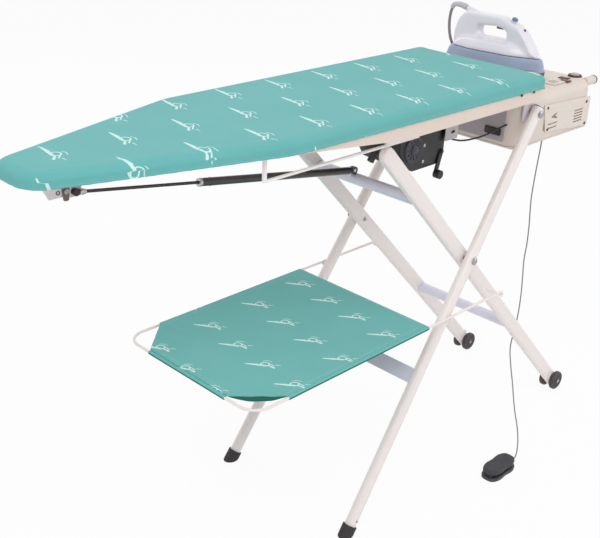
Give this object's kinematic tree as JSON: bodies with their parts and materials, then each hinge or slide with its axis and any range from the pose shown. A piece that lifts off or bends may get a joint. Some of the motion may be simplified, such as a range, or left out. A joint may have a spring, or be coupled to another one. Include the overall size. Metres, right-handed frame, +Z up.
{
  "type": "vacuum ironing table",
  "caption": "Folding vacuum ironing table: padded tapered board on scissor legs, under-board fan, steam generator, iron, laundry shelf and foot switch.",
  "frame": {"origin": "on the floor, under the middle of the table", "axes": "+X from the nose of the board to the generator, +Y to the side of the iron heel and away from the foot switch, +Z up"},
  "size_m": [1.5177, 0.507, 1.0104],
  "materials": {
    "teal_cloth": "matt woven",
    "felt": "felted",
    "cream_paint": "satin",
    "white_paint": "satin",
    "lavender_paint": "satin",
    "cream_plastic": "satin",
    "bare_steel": "plain",
    "black_plastic": "matt",
    "black_rubber": "matt",
    "brown_plastic": "matt",
    "iron_white": "gloss",
    "iron_blue": "satin",
    "trigger_red": "gloss",
    "grey_rubber": "matt",
    "brass": "satin"
  },
  "bodies": {
    "table": {"board_pan": "cream_paint", "boiler": "brass", "cable_gland": "black_rubber", "cover": "teal_cloth", "fan_cover_far": "black_plastic", "fan_cover_near": "black_plastic", "fan_lead": "black_rubber", "fan_motor": "bare_steel", "felt_pad": "felt", "hose_coil": "grey_rubber", "hose_fitting": "brass", "housing_base": "cream_plastic", "housing_shell": "cream_plastic", "iron_hose": "grey_rubber", "iron_rest": "grey_rubber", "mains_inlet": "black_plastic", "nose_bracket": "white_paint", "pedal_base": "black_plastic", "pedal_cable": "grey_rubber", "perforated_plate": "bare_steel", "pivot_bracket_far": "white_paint", "pivot_bracket_near": "white_paint", "rear_grip": "cream_plastic", "slide_rail_far": "white_paint", "slide_rail_near": "white_paint", "top_pivot_pin_far": "bare_steel", "top_pivot_pin_near": "bare_steel"},
    "round_legs": {"round_leg_near": "white_paint", "round_leg_far": "white_paint", "foot_near": "black_rubber", "foot_far": "black_rubber", "leg_brace": "lavender_paint", "scissor_pin_near": "bare_steel", "scissor_pin_far": "bare_steel"},
    "flat_legs": {"flat_leg_near": "white_paint", "flat_leg_far": "white_paint", "upper_cross_tube": "lavender_paint", "lower_cross_tube": "lavender_paint", "wheel_axle_near": "bare_steel", "wheel_axle_far": "bare_steel"},
    "wheel_near_inner": {"wheel_near_inner": "brown_plastic"},
    "wheel_near_outer": {"wheel_near_outer": "brown_plastic"},
    "wheel_far_inner": {"wheel_far_inner": "brown_plastic"},
    "wheel_far_outer": {"wheel_far_outer": "brown_plastic"},
    "strut_body": {"strut_body": "black_plastic"},
    "strut_rod": {"strut_rod": "bare_steel"},
    "shelf": {"shelf_frame": "white_paint", "shelf_cloth": "teal_cloth"},
    "iron": {"iron_base": "iron_blue", "iron_body": "iron_white", "strain_relief": "iron_white"},
    "iron_trigger": {"iron_trigger": "trigger_red"},
    "impeller": {"impeller": "black_plastic"},
    "flap_lever": {"flap_lever": "black_plastic"},
    "nose_latch": {"nose_latch": "brown_plastic"},
    "release_lever": {"release_lever": "black_rubber"},
    "rocker_power": {"rocker_power": "trigger_red"},
    "rocker_steam": {"rocker_steam": "trigger_red"},
    "dial": {"dial": "black_plastic"},
    "pedal_treadle": {"pedal_treadle": "black_rubber"}
  },
  "joints": [
    {"name": "leg_fold", "type": "hinge", "parent": "table", "child": "round_legs", "pos_m": [0.441, 0, 0.8277], "axis": [0, 1, 0], "range_deg": [0, 42.9]},
    {"name": "inner_leg_fold", "type": "hinge", "parent": "round_legs", "child": "flat_legs", "pos_m": [0.23618, 0, 0.53616], "axis": [0, 1, 0], "range_deg": [-78.8, 0]},
    {"name": "strut_turn", "type": "hinge", "parent": "flat_legs", "child": "strut_body", "pos_m": [0.062, 0.03, 0.727], "axis": [0, 1, 0], "range_deg": [0, 32]},
    {"name": "strut_stroke", "type": "slide", "parent": "strut_body", "child": "strut_rod", "axis": [0.9867, 0, -0.1628], "range_m": [0, 0.2415]},
    {"name": "shelf_tilt", "type": "hinge", "parent": "flat_legs", "child": "shelf", "pos_m": [0.34612, 0, 0.4232], "axis": [0, 1, 0], "range_deg": [0, 39]},
    {"name": "wheel_spin_near_inner", "type": "hinge", "parent": "flat_legs", "child": "wheel_near_inner", "pos_m": [0.7332, -0.12975, 0.0255], "axis": [0, 1, 0], "continuous": true},
    {"name": "wheel_spin_near_outer", "type": "hinge", "parent": "flat_legs", "child": "wheel_near_outer", "pos_m": [0.7332, -0.16355, 0.0255], "axis": [0, 1, 0], "continuous": true},
    {"name": "wheel_spin_far_inner", "type": "hinge", "parent": "flat_legs", "child": "wheel_far_inner", "pos_m": [0.7332, 0.12975, 0.0255], "axis": [0, 1, 0], "continuous": true},
    {"name": "wheel_spin_far_outer", "type": "hinge", "parent": "flat_legs", "child": "wheel_far_outer", "pos_m": [0.7332, 0.16355, 0.0255], "axis": [0, 1, 0], "continuous": true},
    {"name": "iron_lift", "type": "slide", "parent": "table", "child": "iron", "axis": [0, 0, 1], "range_m": [0, 0.15]},
    {"name": "trigger_press", "type": "slide", "parent": "iron", "child": "iron_trigger", "axis": [0, 0, 1], "range_m": [0, 0.003], "stiffness_N_per_m": 400},
    {"name": "impeller_spin", "type": "hinge", "parent": "table", "child": "impeller", "pos_m": [0.135, -0.054, 0.803], "axis": [0, 1, 0], "continuous": true},
    {"name": "flap_turn", "type": "hinge", "parent": "table", "child": "flap_lever", "pos_m": [0.2, -0.0918, 0.772], "axis": [0, 1, 0], "range_deg": [0, 60]},
    {"name": "latch_turn", "type": "hinge", "parent": "table", "child": "nose_latch", "pos_m": [-0.672, -0.0198, 0.867], "axis": [0, 1, 0], "range_deg": [0, 35]},
    {"name": "release_pull", "type": "hinge", "parent": "table", "child": "release_lever", "pos_m": [-0.045, -0.1333, 0.8535], "axis": [0, 1, 0], "range_deg": [0, 12], "stiffness_Nm_per_rad": 0.6},
    {"name": "power_rock", "type": "hinge", "parent": "table", "child": "rocker_power", "pos_m": [0.65, -0.1, 0.8617], "axis": [1, 0, 0], "range_deg": [-8, 8]},
    {"name": "steam_rock", "type": "hinge", "parent": "table", "child": "rocker_steam", "pos_m": [0.629, -0.116, 0.8617], "axis": [1, 0, 0], "range_deg": [-8, 8]},
    {"name": "dial_turn", "type": "hinge", "parent": "table", "child": "dial", "pos_m": [0.684, -0.108, 0.8627], "axis": [0, 0, 1], "range_deg": [-135, 135]},
    {"name": "treadle_press", "type": "hinge", "parent": "table", "child": "pedal_treadle", "pos_m": [0.257, -0.28, 0.0155], "axis": [0, 1, 0], "range_deg": [0, 4], "stiffness_Nm_per_rad": 0.5, "springref_deg": -5.73}
  ],
  "couplings": [
    {"joint": "inner_leg_fold", "follows": "leg_fold", "ratio": -1.83},
    {"joint": "strut_turn", "follows": "leg_fold", "ratio": 0.74},
    {"joint": "strut_stroke", "follows": "leg_fold", "m_per_rad": 0.322},
    {"joint": "shelf_tilt", "follows": "leg_fold", "ratio": 0.905}
  ]
}
